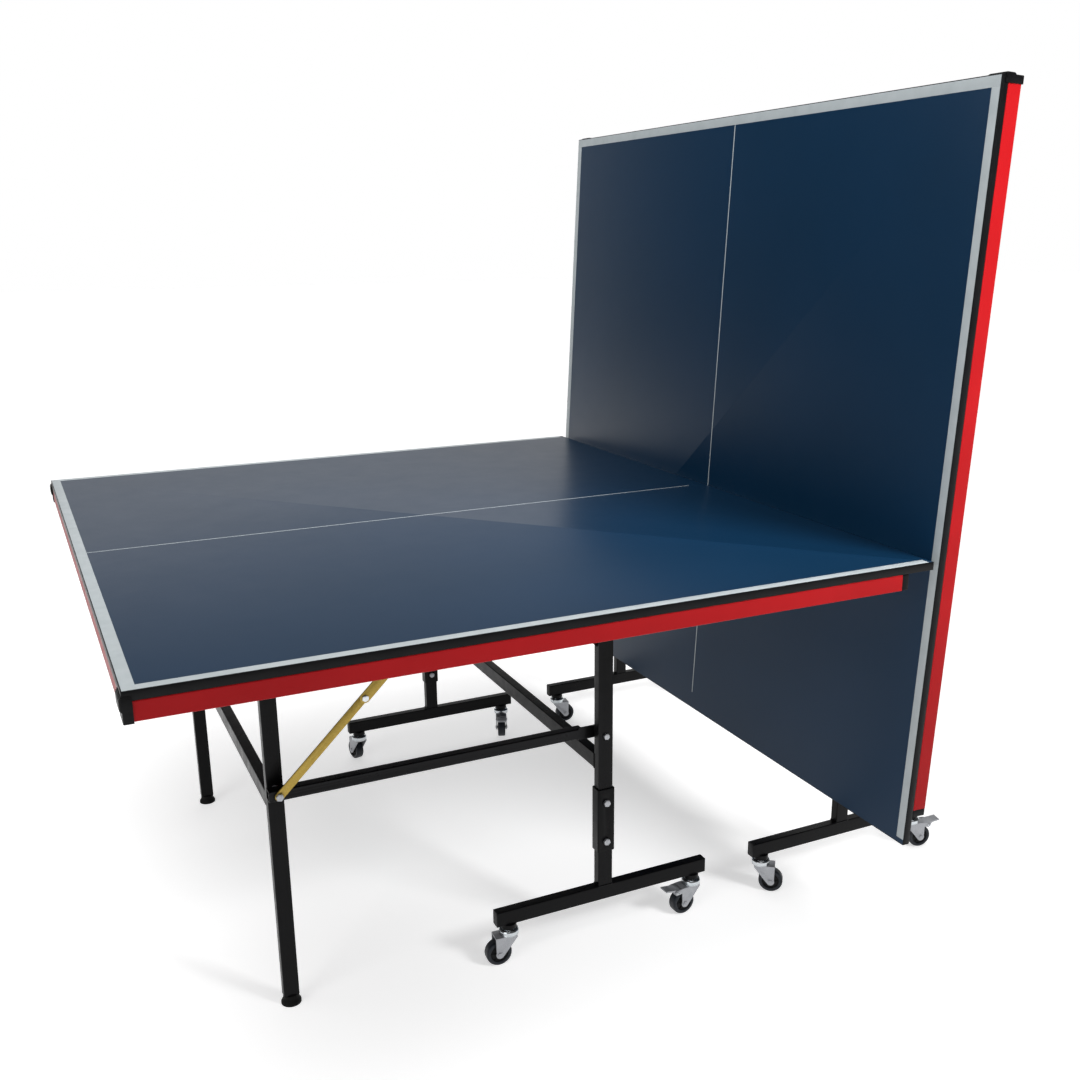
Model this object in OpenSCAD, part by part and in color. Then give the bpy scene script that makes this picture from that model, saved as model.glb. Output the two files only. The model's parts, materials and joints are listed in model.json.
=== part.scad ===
// Two-piece rollaway table tennis table in its playback position.
// Half A lies level for play and half B stands upright as the wall.
// Origin: floor level, middle of the whole table's length and width. +X runs from half A to half B.

/* [Table top] */
// Length of one half, from end line to net edge
half_l = 1370; // [1340:5:1400]
// Width of the table
table_w = 1525; // [1500:5:1560]
// Height of the playing surface above the floor
play_h = 760; // [755:1:765]
// Thickness of the board
board_t = 15; // [12:1:18]
// Thickness of the black edge band
band_t = 1.5; // [1:0.5:2]

/* [Apron rails] */
// Height of the red rails under the board
rail_h = 30; // [25:1:32]
// Width of the red rails
rail_w = 20; // [18:1:24]
// Distance from the net edge to the end of the side rails
rail_net_gap = 70; // [60:1:90]
// Visible length of the black cap on a side rail
rail_cap_l = 14; // [8:1:20]
// Number of screws under each side rail
side_screw_count = 9; // [5:1:10]
// Number of screws under the end rail
end_screw_count = 5; // [3:1:7]

/* [Wheeled frame] */
// Distance from the net edge to the top hinge
hinge_from_net = 522; // [515:1:530]
// Height of the top hinge
hinge_z = 720; // [716:1:722]
// Distance of the wheeled legs from the table's centre line
frame_y = 493.5; // [493:0.5:494]
// Width of the frame tubes along the table
tube_w = 30; // [28:1:32]
// Depth of the frame tubes across the table
tube_d = 20; // [19:0.5:20]
// Wall of the frame tubes
tube_wall = 1.5; // [1.2:0.1:2]
// Length of a base bar
base_l = 455; // [430:5:480]
// Underside of a base bar
base_z = 82; // [82:1:84]
// Bottom of the cross tube between the wheeled legs
frame_cross_z = 355; // [340:1:365]
// Bottom of the leg sleeves
sleeve_z = 187; // [180:1:195]
// Length of the leg sleeves
sleeve_l = 130; // [120:1:135]

/* [End legs and links] */
// Distance from the wheeled legs to the end legs
link_l = 602; // [595:1:610]
// Distance of the end legs from the table's centre line
end_leg_y = 434; // [433:0.5:434]
// Width of an end leg along the table
end_leg_w = 28; // [26:1:30]
// Height of the link bar pivots
link_z = 425; // [422:1:428]
// Distance of the link bars from the table's centre line
link_y = 463.5; // [463:0.5:464]
// Width and height of a link bar
link_w = 20; // [18:1:20]
// Bottom of the cross tube between the end legs
end_cross_z = 386; // [376:1:392]
// Distance from an end leg to the stay's pivot under the board
stay_reach = 303; // [300:1:306]
// Radius of a rubber foot
foot_r = 18; // [16:0.5:18]

/* [Casters] */
// Radius of a wheel
wheel_r = 25; // [23:0.5:25]
// Width of a wheel
wheel_w = 20; // [16:1:21]
// Distance from the swivel axis to the axle
caster_trail = 22; // [18:1:26]
// Distance from a swivel axis to the end of its base bar
caster_inset = 27; // [24:1:35]

/* [Pose] */
// Fold angle of half B, where 90 is plumb
fold_b = 86.8; // [86:0.1:88]
// Distance between the top hinges of the two halves
hinge_gap = 572; // [570:1:580]

/* [Hidden] */

board_under = play_h - board_t;
half_w = table_w / 2;
frame_x = -hinge_from_net;
leg_x = frame_x - link_l;
stay_x = leg_x + stay_reach;
link_drop = hinge_z - link_z;

// Clearances: fixed fits inside one body, running fits at the pivots
fit_gap = 0.15;
run_gap = 0.05;
bolt_r = 4;
hex_r = 6.9;
tube_round = 2;

// Gusset on the wheeled legs: its lowest and highest points, and its width
gusset_z = [600, 700];
gusset_w = 38;

// Corner guards: how far they stand past the end line, and how far they run along the side and the end
guard_over_x = 4;
guard_side_l = 13;
guard_end_l = 40;

// Rails
rail_y = half_w - 0.5 - rail_w / 2;
rail_end_x = -half_l + guard_side_l;
end_rail_x = -half_l + 0.5 + rail_w / 2;
screw_r = 1.8;
screw_head_r = 4.2;
end_screw_pitch = 290;
side_screw_first = 118;
side_screw_last = half_l - 60;

// Planes of the folding linkage, as distances from the centre line
bracket_t = 2.5;
stay_t = 3;
stay_low_y = 475;
stay_up_y = 478.5;
tongue_t = 4;
bracket_plate_t = 2.5;
hinge_screw_x = 24;
stay_screw_x = 13;
stay_screw_y = stay_up_y + 16;

// Fold geometry in a half's own plane, seen with the wheeled legs on the right
stay_straight = norm([stay_reach, link_drop]);
stay_lower_l = (stay_straight + stay_reach - link_drop) / 2;
stay_upper_l = stay_straight - stay_lower_l;
stay_dir = atan2(link_drop, stay_reach);
folded_pin = [link_drop * sin(fold_b), -link_drop * cos(fold_b)];
folded_span = [stay_reach, 0] - folded_pin;
folded_gap = norm(folded_span);
elbow_corner = acos((pow(stay_lower_l, 2) + pow(folded_gap, 2) - pow(stay_upper_l, 2))
    / (2 * stay_lower_l * folded_gap));
folded_lower_dir = atan2(folded_span.y, folded_span.x) - elbow_corner;
folded_elbow = folded_pin + stay_lower_l * [cos(folded_lower_dir), sin(folded_lower_dir)];
folded_upper_dir = 360 + atan2(folded_elbow.y, folded_elbow.x - stay_reach);
lower_stay_turn = stay_dir - folded_lower_dir + fold_b;
upper_stay_turn = stay_dir + 180 - folded_upper_dir;

// Casters: half, side (-1 near, 1 far), place on the base bar (-1 towards half A's end line), heading
CASTERS = [
    [0, -1, -1, 176], [0, -1, 1, 184], [0, 1, -1, 102], [0, 1, 1, 249],
    [1, -1, -1, -38], [1, -1, 1, -12], [1, 1, -1, -8], [1, 1, 1, 12]
];
fork_gap = 23.6;
fork_t = 2.4;
fork_top_z = 60;
cup_r = 19;
stem_r = 5;
axle_r = 3;
pedal_pin = [40, 54];
pedal_pin_r = 2;
pedal_w = fork_gap - 1;
pedal_l = 27;

// Half the difference between the reach of the guards at one end and of the brakes at the other
pedal_reach = (pedal_pin.x + pedal_l) * cos(CASTERS[7][3]) + pedal_w / 2 * sin(CASTERS[7][3]);
net_x = (half_l + guard_over_x - (frame_x + hinge_gap + base_l / 2 - caster_inset + pedal_reach)) / 2;

BLACK = "#17181a";
RUBBER = "#101113";
BOARD_BLUE = "#33485f";
RAIL_RED = "#a31b20";
ZINC = "#b9bcc0";
GOLD = "#a98f2c";
TREAD = "#1f2b36";

// ---- placing ----

module place(h) {
    if (h == 0) translate([net_x, 0, 0]) children();
    else translate([net_x + hinge_gap + 2 * frame_x, 0, 0]) rotate([0, 0, 180]) children();
}

module turn_about(x, z, angle) {
    translate([x, 0, z]) rotate([0, angle, 0]) translate([-x, 0, -z]) children();
}

module with_top(h) {
    place(h) turn_about(frame_x, hinge_z, h * fold_b) children();
}

module with_end_legs(h) {
    rise = h * link_l * sin(fold_b);
    run = h * link_l * (1 - cos(fold_b));
    place(h) translate([run, 0, rise]) children();
}

module both_sides() {
    for (s = [-1, 1]) scale([1, s, 1]) children();
}

// ---- shared shapes ----

module round_rect(w, d, r) {
    square([w - 2 * r, d], center = true);
    square([w, d - 2 * r], center = true);
    for (x = [-1, 1], y = [-1, 1]) translate([x * (w / 2 - r), y * (d / 2 - r)]) circle(r, $fn = 24);
}

module tube_section(w, d, wall) {
    difference() {
        round_rect(w, d, tube_round);
        round_rect(w - 2 * wall, d - 2 * wall, tube_round - wall / 2);
    }
}

module tube_up(w, d, l, wall = tube_wall) {
    linear_extrude(l) tube_section(w, d, wall);
}

// Tube along X: w is its height, d its depth
module tube_along(w, d, l, wall = tube_wall) {
    rotate([0, 90, 0]) tube_up(w, d, l, wall);
}

// Tube along Y: w is its height, d its length along the table
module tube_across(w, d, l, wall = tube_wall) {
    rotate([-90, 0, 0]) linear_extrude(l) tube_section(d, w, wall);
}

// Cylinder along +Y from y0 to y1
module rod_y(r, y0, y1, fn = 32) {
    translate([0, y0, 0]) rotate([-90, 0, 0]) cylinder(r = r, h = y1 - y0, $fn = fn);
}

// Bolt along Y: the head sits outside y1 and the nut inside y0
module bolt_y(y0, y1, head_t = 5, nut_t = 5, head_r = hex_r) {
    rod_y(bolt_r, y0 - nut_t - 1, y1 + head_t / 2);
    rotate([0, 15, 0]) rod_y(head_r, y1, y1 + head_t, 6);
    rotate([0, 40, 0]) rod_y(hex_r, y0 - nut_t, y0, 6);
}

// Flat link in the XZ plane from the origin along +X, with round ends and pivot bores
module link_strip(l, w, y0, t, bores) {
    translate([0, y0 + t, 0]) rotate([90, 0, 0]) linear_extrude(t) difference() {
        union() {
            translate([0, -w / 2]) square([l, w]);
            circle(w / 2, $fn = 48);
            translate([l, 0]) circle(w / 2, $fn = 48);
        }
        for (x = bores) translate([x, 0]) circle(bolt_r + run_gap, $fn = 48);
    }
}

// ---- table top ----

function side_screw_x(i) =
    -side_screw_first - i * (side_screw_last - side_screw_first) / (side_screw_count - 1);

// Screws that hold the rails, at the rails' lower face
module at_rail_screws() {
    both_sides() for (i = [0 : side_screw_count - 1])
        translate([side_screw_x(i), rail_y, board_under - rail_h]) children();
    for (i = [0 : end_screw_count - 1])
        translate([end_rail_x, (i - (end_screw_count - 1) / 2) * end_screw_pitch, board_under - rail_h]) children();
}

// Screws that hold the hinge brackets, at the bracket plates' lower face
module at_bracket_screws() {
    both_sides() {
        for (x = [-hinge_screw_x, hinge_screw_x]) {
            translate([frame_x + x, frame_y, board_under - bracket_plate_t]) children();
            translate([leg_x + x, end_leg_y, board_under - bracket_plate_t]) children();
        }
        for (x = [-stay_screw_x, stay_screw_x])
            translate([stay_x + x, stay_screw_y, board_under - bracket_plate_t]) children();
    }
}

module board() {
    color(BOARD_BLUE) difference() {
        translate([-half_l + band_t, -half_w + band_t, board_under])
            cube([half_l - 2 * band_t, table_w - 2 * band_t, board_t]);
        at_rail_screws() cylinder(r = screw_r + fit_gap, h = rail_h + 9.5, $fn = 16);
        at_bracket_screws() cylinder(r = screw_r + fit_gap, h = bracket_plate_t + 9.5, $fn = 16);
    }
}

module edge_band() {
    color(BLACK) translate([-half_l / 2, 0, board_under]) linear_extrude(board_t) difference() {
        square([half_l, table_w], center = true);
        square([half_l - 2 * band_t, table_w - 2 * band_t], center = true);
    }
}

module rail_screw_holes() {
    at_rail_screws() translate([0, 0, -1]) cylinder(r = screw_r + fit_gap, h = rail_h + 2, $fn = 16);
}

module side_rails() {
    color(RAIL_RED) difference() {
        both_sides() translate([rail_end_x, rail_y, board_under - rail_h / 2])
            tube_along(rail_h, rail_w, -rail_net_gap - rail_end_x, 1.2);
        rail_screw_holes();
    }
}

module end_rail() {
    reach = half_w - guard_end_l - 0.3;
    color(RAIL_RED) difference() {
        translate([end_rail_x, -reach, board_under - rail_h / 2])
            tube_across(rail_h, rail_w, 2 * reach, 1.2);
        rail_screw_holes();
    }
}

module rail_caps() {
    plug_l = 12;
    color(BLACK) both_sides() translate([-rail_net_gap, rail_y, board_under - rail_h / 2]) {
        rotate([0, 90, 0]) linear_extrude(rail_cap_l) round_rect(rail_h, rail_w, 2.5);
        translate([-plug_l, 0, 0]) rotate([0, 90, 0])
            linear_extrude(plug_l) round_rect(rail_h - 2.8, rail_w - 2.8, 1.2);
    }
}

// Plan of a corner guard that stands proud of the board, by over_x at the end and over_y at the side
module guard_plan(over_x, over_y, r) {
    x0 = -half_l - over_x;
    x1 = -half_l + guard_side_l;
    y0 = half_w - guard_end_l;
    y1 = half_w + over_y;
    translate([x0 + r, y0]) square([x1 - x0 - r, y1 - y0]);
    translate([x0, y0]) square([x1 - x0, y1 - y0 - r]);
    translate([x0 + r, y1 - r]) circle(r, $fn = 32);
}

module corner_guards() {
    foot_z = board_under - rail_h - 1.5;
    step_z = board_under - 14;
    // each level: height, thickness, stand-off at the end, stand-off at the side, corner radius
    levels = [
        [foot_z, step_z - foot_z, 1, 1, 2.5],
        [step_z, 2, 2.8, 1.6, 3.2],
        [step_z + 2, 15, guard_over_x, 2.2, 4],
        [step_z + 17, 2.5, guard_over_x - 1, 1.8, 3.5],
        [step_z + 19.5, 2, guard_over_x - 2.4, 1.2, 2.5]
    ];
    color(BLACK) both_sides() difference() {
        union() for (l = levels) translate([0, 0, l[0]]) linear_extrude(l[1]) guard_plan(l[2], l[3], l[4]);
        translate([-half_l - 0.05, 0, board_under]) cube([half_l, half_w + 0.05, board_t + 1]);
    }
}

module wood_screw(through) {
    translate([0, 0, -2.4]) cylinder(r = screw_head_r, h = 2.4, $fn = 32);
    cylinder(r = screw_r, h = through + 9, $fn = 16);
}

module top_screws() {
    color(ZINC) {
        at_rail_screws() wood_screw(rail_h);
        at_bracket_screws() wood_screw(bracket_plate_t);
    }
}

// Upright cheek of a bracket, in the XZ plane, with its pivot at the origin
module cheek(y0, r, bore) {
    rise = board_under - hinge_z - 1;
    translate([0, y0 + bracket_t, 0]) rotate([90, 0, 0]) linear_extrude(bracket_t) difference() {
        union() {
            circle(r, $fn = 48);
            translate([-r, 0]) square([2 * r, rise]);
        }
        if (bore > 0) circle(bore, $fn = 48);
    }
}

// Screw plate of a bracket under the board, with a hole screw_x to each side of its middle
module bracket_plate(x, y0, y1, screw_x, screw_y) {
    half_x = screw_x + 7;
    translate([x, 0, board_under - bracket_plate_t]) difference() {
        translate([-half_x, y0, 0]) cube([2 * half_x, y1 - y0, bracket_plate_t]);
        for (d = [-screw_x, screw_x]) translate([d, screw_y, -1])
            cylinder(r = screw_r + fit_gap, h = bracket_plate_t + 2, $fn = 16);
    }
}

module hinge_brackets() {
    cheek_gap = 0.3;
    color(BLACK) both_sides() {
        bracket_plate(frame_x, frame_y - 13, frame_y + 13, hinge_screw_x, frame_y);
        translate([frame_x, 0, hinge_z]) {
            cheek(frame_y + tube_d / 2 + cheek_gap, 14, bolt_r + run_gap);
            cheek(frame_y - tube_d / 2 - cheek_gap - bracket_t, 14, bolt_r + run_gap);
        }
        bracket_plate(leg_x, end_leg_y - 13.5, end_leg_y + 13.5, hinge_screw_x, end_leg_y);
        translate([leg_x, 0, hinge_z]) {
            cheek(end_leg_y + tube_d / 2 + cheek_gap, 13, bolt_r + run_gap);
            cheek(end_leg_y - tube_d / 2 - cheek_gap - bracket_t, 13, bolt_r + run_gap);
        }
        bracket_plate(stay_x, stay_up_y + stay_t + 0.4, stay_up_y + 24, stay_screw_x, stay_screw_y);
        translate([stay_x, 0, hinge_z]) {
            cheek(stay_up_y + stay_t + 0.4, 11, 0);
            rod_y(bolt_r, stay_up_y - 0.1, stay_up_y + stay_t + 1);
            rod_y(7, stay_up_y + stay_t + 2.8, stay_up_y + stay_t + 5.5);
        }
    }
}

// ---- wheeled frame ----

module leg_frame() {
    foot_z = sleeve_z + sleeve_l / 2 + 2;
    head_z = hinge_z + 12;
    color(BLACK) difference() {
        union() {
            both_sides() {
                translate([frame_x, frame_y, foot_z]) tube_up(tube_w, tube_d, head_z - foot_z);
                translate([frame_x, frame_y + 1.5, 0]) rotate([90, 0, 0]) linear_extrude(3)
                    polygon([[-tube_w / 2 + 1, gusset_z[0]], [-tube_w / 2 + 1, gusset_z[1]],
                        [-tube_w / 2 - gusset_w, gusset_z[1]], [-tube_w / 2 - gusset_w, gusset_z[0] + gusset_w]]);
            }
            translate([frame_x - tube_w / 2 + tube_d / 2, -frame_y + tube_d / 2 - 1, frame_cross_z + tube_w / 2])
                tube_across(tube_w, tube_d, 2 * frame_y - tube_d + 2);
        }
        both_sides() for (z = [hinge_z, link_z, sleeve_z + sleeve_l - 28]) translate([frame_x, 0, z])
            rod_y(bolt_r + fit_gap, frame_y - tube_d, frame_y + tube_d);
    }
}

module sleeve_bolt_holes() {
    both_sides() for (z = [sleeve_z + 21, sleeve_z + sleeve_l - 28]) translate([frame_x, 0, z])
        rod_y(bolt_r + fit_gap, frame_y - tube_d, frame_y + tube_d);
}

module leg_sleeves() {
    color(BLACK) difference() {
        both_sides() translate([frame_x, frame_y, sleeve_z]) linear_extrude(sleeve_l) difference() {
            round_rect(tube_w + 6, tube_d + 6, 3);
            round_rect(tube_w + 2 * fit_gap, tube_d + 2 * fit_gap, tube_round);
        }
        sleeve_bolt_holes();
    }
}

module sleeve_bolts() {
    color(ZINC) both_sides() for (z = [sleeve_z + 21, sleeve_z + sleeve_l - 28]) translate([frame_x, 0, z])
        bolt_y(frame_y - tube_d / 2 - 3, frame_y + tube_d / 2 + 3);
}

module base_bars() {
    bar_x0 = frame_x - base_l / 2 + 2;
    top_z = base_z + tube_w;
    color(BLACK) difference() {
        both_sides() {
            translate([bar_x0, frame_y, base_z + tube_w / 2]) tube_along(tube_w, tube_d, base_l - 4);
            translate([frame_x, frame_y, top_z - 1])
                tube_up(tube_w, tube_d, sleeve_z + sleeve_l / 2 - 2 - top_z + 1);
            for (x = [-1, 1]) translate([frame_x + x * (base_l / 2 - caster_inset), frame_y, base_z - 8]) {
                cylinder(r = 15, h = 8.5, $fn = 48);
                cylinder(r = 8, h = tube_w + 7, $fn = 32);
            }
        }
        sleeve_bolt_holes();
        both_sides() for (x = [-1, 1])
            translate([frame_x + x * (base_l / 2 - caster_inset), frame_y, base_z - 9])
                cylinder(r = stem_r + run_gap, h = tube_w + 3, $fn = 48);
    }
}

module base_caps() {
    plug_l = 12;
    color(RUBBER) both_sides() for (x = [-1, 1])
        translate([frame_x + x * (base_l / 2 - 2), frame_y, base_z + tube_w / 2]) scale([x, 1, 1]) {
            rotate([0, 90, 0]) linear_extrude(2) round_rect(tube_w, tube_d, tube_round);
            translate([-plug_l, 0, 0]) rotate([0, 90, 0])
                linear_extrude(plug_l) round_rect(tube_w - 3.4, tube_d - 3.4, 1);
        }
}

module frame_bolts() {
    inner_y = frame_y - tube_d / 2;
    outer_y = frame_y + tube_d / 2;
    tongue_y = link_y + link_w / 2;
    color(ZINC) both_sides() {
        translate([frame_x, 0, hinge_z]) bolt_y(inner_y - bracket_t - 0.6, outer_y + bracket_t + 0.6, 4.5, 3.5);
        translate([frame_x, 0, link_z]) {
            bolt_y(tongue_y - tongue_t - 0.3, outer_y, head_r = 6);
            difference() {
                rod_y(7, tongue_y + 0.3, inner_y - 0.1);
                rod_y(bolt_r + fit_gap, tongue_y, inner_y);
            }
        }
    }
}

// ---- end legs ----

module end_legs() {
    leg_z = 18;
    color(BLACK) difference() {
        union() {
            both_sides() translate([leg_x, end_leg_y, leg_z]) tube_up(end_leg_w, tube_d, hinge_z + 11 - leg_z);
            translate([leg_x - end_leg_w / 2 + tube_d / 2, -end_leg_y + tube_d / 2 - 1, end_cross_z + tube_w / 2])
                tube_across(tube_w, tube_d, 2 * end_leg_y - tube_d + 2);
        }
        both_sides() for (z = [hinge_z, link_z]) translate([leg_x, 0, z])
            rod_y(bolt_r + fit_gap, end_leg_y - tube_d, end_leg_y + tube_d);
    }
}

module leg_feet() {
    color(RUBBER) both_sides() translate([leg_x, end_leg_y, 0]) {
        rotate_extrude($fn = 64) polygon([[0, 0], [foot_r, 0], [foot_r, 4], [foot_r - 4, 11],
            [foot_r - 4, 17.7], [0, 17.7]]);
        linear_extrude(34) round_rect(end_leg_w - 3.4, tube_d - 3.4, 1);
    }
}

module leg_bolts() {
    inner_y = end_leg_y - tube_d / 2;
    outer_y = end_leg_y + tube_d / 2;
    color(ZINC) both_sides() {
        translate([leg_x, 0, hinge_z]) bolt_y(inner_y - bracket_t - 0.6, outer_y + bracket_t + 0.6, 4, 4);
        translate([leg_x, 0, link_z]) {
            bolt_y(inner_y, stay_low_y + stay_t + 0.3, 4, 4);
            difference() {
                rod_y(7.5, outer_y + 0.1, link_y - link_w / 2 - 0.3);
                rod_y(bolt_r + fit_gap, outer_y, link_y);
            }
        }
    }
}

module link_bars() {
    back = 17;
    tube_end = link_l - 34;
    tongue_z = 12;
    color(BLACK) both_sides() translate([leg_x, 0, link_z]) difference() {
        union() {
            translate([-back, link_y, 0]) tube_along(link_w, link_w, tube_end + back);
            translate([tube_end - 8, link_y + link_w / 2 - tongue_t, -tongue_z]) cube([42, tongue_t, 2 * tongue_z]);
            translate([link_l, 0, 0]) rod_y(tongue_z, link_y + link_w / 2 - tongue_t, link_y + link_w / 2, 48);
            translate([tube_end - 9, link_y - link_w / 2 + 1, -link_w / 2 + 1])
                cube([9, link_w - 2, link_w - 2]);
        }
        rod_y(bolt_r + run_gap, link_y - link_w, link_y + link_w, 48);
        translate([link_l, 0, 0]) rod_y(bolt_r + run_gap, link_y, link_y + link_w, 48);
    }
}

// Lower stay, straight in line with the upper one while the half lies level
module lower_stays() {
    strip_w = 15;
    color(GOLD) both_sides() translate([leg_x, 0, link_z]) rotate([0, -stay_dir, 0])
        link_strip(stay_lower_l, strip_w, stay_low_y, stay_t, [0]);
}

module upper_stays() {
    strip_w = 18;
    color(GOLD) both_sides() translate([stay_x, 0, hinge_z]) rotate([0, 180 - stay_dir, 0]) {
        link_strip(stay_upper_l, strip_w, stay_up_y, stay_t, [0]);
        translate([stay_upper_l, 0, 0]) rotate([0, 20, 0]) rod_y(6.2, stay_up_y + stay_t - 0.5, stay_up_y + stay_t + 3, 6);
    }
}

// ---- casters ----

function caster_x(n) =
    net_x + frame_x + CASTERS[n - 1][0] * hinge_gap + CASTERS[n - 1][2] * (base_l / 2 - caster_inset);

module at_caster(n) {
    translate([caster_x(n), CASTERS[n - 1][1] * frame_y, 0]) rotate([0, 0, CASTERS[n - 1][3]]) children();
}

module braked_arm() {
    translate(pedal_pin) circle(5, $fn = 32);
    polygon([[20, fork_top_z], [20, 50], [pedal_pin.x, pedal_pin.y - 5], [pedal_pin.x, pedal_pin.y + 5]]);
}

module fork_cheek(braked) {
    boss_r = 8;
    polygon([[-13, fork_top_z], [-13, fork_top_z - 4], [caster_trail - boss_r + 1, 21],
        [caster_trail + boss_r - 1, 21], [caster_trail + boss_r, fork_top_z]]);
    translate([caster_trail, wheel_r]) circle(boss_r, $fn = 48);
    if (braked) braked_arm();
}

module caster_fork(n) {
    braked = CASTERS[n - 1][2] > 0;
    color(ZINC) at_caster(n) {
        rotate_extrude($fn = 64) polygon([[0, fork_top_z - 2], [16, fork_top_z - 2], [cup_r, fork_top_z + 2],
            [cup_r, fork_top_z + 9], [cup_r - 2, fork_top_z + 11.5], [stem_r, fork_top_z + 11.5],
            [stem_r, base_z + 20], [0, base_z + 21]]);
        translate([-13, -fork_gap / 2 - fork_t, fork_top_z - fork_t])
            cube([caster_trail + 21, fork_gap + 2 * fork_t, fork_t]);
        for (s = [-1, 1]) translate([0, s * (fork_gap + fork_t) / 2 + fork_t / 2, 0]) rotate([90, 0, 0])
            linear_extrude(fork_t) fork_cheek(braked);
        translate([caster_trail, 0, wheel_r]) {
            rod_y(axle_r, -fork_gap / 2 - fork_t - 1, fork_gap / 2 + fork_t + 1);
            for (s = [-1, 1]) translate([0, s * (fork_gap / 2 + fork_t + 1), 0]) rod_y(5, -1, 1);
        }
        if (braked) translate([pedal_pin.x, 0, pedal_pin.y])
            rod_y(pedal_pin_r, -fork_gap / 2 - fork_t - 0.8, fork_gap / 2 + fork_t + 0.8);
    }
}

module caster_wheel(n) {
    hw = wheel_w / 2;
    color(TREAD) at_caster(n) translate([caster_trail, 0, wheel_r]) rotate([-90, 0, 0])
        rotate_extrude($fn = 72) polygon([
            [axle_r + run_gap, -hw - 0.8], [8, -hw - 0.8], [8.5, -hw + 3], [16, -hw + 3], [17.5, -hw + 0.8],
            [wheel_r - 2.5, -hw], [wheel_r, -hw + 3.5],
            [wheel_r, hw - 3.5], [wheel_r - 2.5, hw],
            [17.5, hw - 0.8], [16, hw - 3], [8.5, hw - 3], [8, hw + 0.8], [axle_r + run_gap, hw + 0.8]]);
}

module brake_pedal(n) {
    color(ZINC) at_caster(n) translate([pedal_pin.x, pedal_w / 2, pedal_pin.y]) rotate([90, 0, 0]) difference() {
        union() {
            cylinder(r = 5, h = pedal_w, $fn = 32);
            linear_extrude(pedal_w) polygon([[-9, 1], [-9, 4], [8, 6.5], [pedal_l - 1, 9], [pedal_l, 6.5],
                [9, 3], [2.5, -7.5], [-2.5, -7.5], [-3.5, 1]]);
        }
        translate([0, 0, -1]) cylinder(r = pedal_pin_r + run_gap, h = pedal_w + 2, $fn = 32);
    }
}

// ---- parts of half A (h = 0) and half B (h = 1) ----

module top_board(h) { with_top(h) board(); }
module top_edge_band(h) { with_top(h) edge_band(); }
module top_side_rails(h) { with_top(h) side_rails(); }
module top_end_rail(h) { with_top(h) end_rail(); }
module top_rail_caps(h) { with_top(h) rail_caps(); }
module top_corner_guards(h) { with_top(h) corner_guards(); }
module top_fixings(h) { with_top(h) top_screws(); }
module top_brackets(h) { with_top(h) hinge_brackets(); }
module end_leg_pair(h) { with_end_legs(h) end_legs(); }
module end_leg_feet(h) { with_end_legs(h) leg_feet(); }
module end_leg_bolts(h) { with_end_legs(h) leg_bolts(); }
module links(h) { place(h) turn_about(frame_x, link_z, h * fold_b) link_bars(); }
module stays_low(h) { with_end_legs(h) turn_about(leg_x, link_z, h * lower_stay_turn) lower_stays(); }
module stays_up(h) { with_top(h) turn_about(stay_x, hinge_z, h * upper_stay_turn) upper_stays(); }

module top_board_a() { top_board(0); }
module edge_band_a() { top_edge_band(0); }
module side_rails_a() { top_side_rails(0); }
module end_rail_a() { top_end_rail(0); }
module rail_caps_a() { top_rail_caps(0); }
module corner_guards_a() { top_corner_guards(0); }
module top_screws_a() { top_fixings(0); }
module hinge_brackets_a() { top_brackets(0); }
module leg_frame_a() { place(0) leg_frame(); }
module leg_sleeves_a() { place(0) leg_sleeves(); }
module sleeve_bolts_a() { place(0) sleeve_bolts(); }
module base_bars_a() { place(0) base_bars(); }
module base_caps_a() { place(0) base_caps(); }
module frame_bolts_a() { place(0) frame_bolts(); }
module end_legs_a() { end_leg_pair(0); }
module leg_feet_a() { end_leg_feet(0); }
module leg_bolts_a() { end_leg_bolts(0); }
module link_bars_a() { links(0); }
module lower_stays_a() { stays_low(0); }
module upper_stays_a() { stays_up(0); }

module top_board_b() { top_board(1); }
module edge_band_b() { top_edge_band(1); }
module side_rails_b() { top_side_rails(1); }
module end_rail_b() { top_end_rail(1); }
module rail_caps_b() { top_rail_caps(1); }
module corner_guards_b() { top_corner_guards(1); }
module top_screws_b() { top_fixings(1); }
module hinge_brackets_b() { top_brackets(1); }
module leg_frame_b() { place(1) leg_frame(); }
module leg_sleeves_b() { place(1) leg_sleeves(); }
module sleeve_bolts_b() { place(1) sleeve_bolts(); }
module base_bars_b() { place(1) base_bars(); }
module base_caps_b() { place(1) base_caps(); }
module frame_bolts_b() { place(1) frame_bolts(); }
module end_legs_b() { end_leg_pair(1); }
module leg_feet_b() { end_leg_feet(1); }
module leg_bolts_b() { end_leg_bolts(1); }
module link_bars_b() { links(1); }
module lower_stays_b() { stays_low(1); }
module upper_stays_b() { stays_up(1); }

top_board_a();
edge_band_a();
side_rails_a();
end_rail_a();
rail_caps_a();
corner_guards_a();
top_screws_a();
hinge_brackets_a();
leg_frame_a();
leg_sleeves_a();
sleeve_bolts_a();
base_bars_a();
base_caps_a();
frame_bolts_a();
end_legs_a();
leg_feet_a();
leg_bolts_a();
link_bars_a();
lower_stays_a();
upper_stays_a();
caster_fork(1);  // caster_fork_1
caster_fork(2);  // caster_fork_2
caster_fork(3);  // caster_fork_3
caster_fork(4);  // caster_fork_4
caster_wheel(1);  // caster_wheel_1
caster_wheel(2);  // caster_wheel_2
caster_wheel(3);  // caster_wheel_3
caster_wheel(4);  // caster_wheel_4
brake_pedal(2);  // brake_pedal_2
brake_pedal(4);  // brake_pedal_4
top_board_b();
edge_band_b();
side_rails_b();
end_rail_b();
rail_caps_b();
corner_guards_b();
top_screws_b();
hinge_brackets_b();
leg_frame_b();
leg_sleeves_b();
sleeve_bolts_b();
base_bars_b();
base_caps_b();
frame_bolts_b();
end_legs_b();
leg_feet_b();
leg_bolts_b();
link_bars_b();
lower_stays_b();
upper_stays_b();
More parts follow.
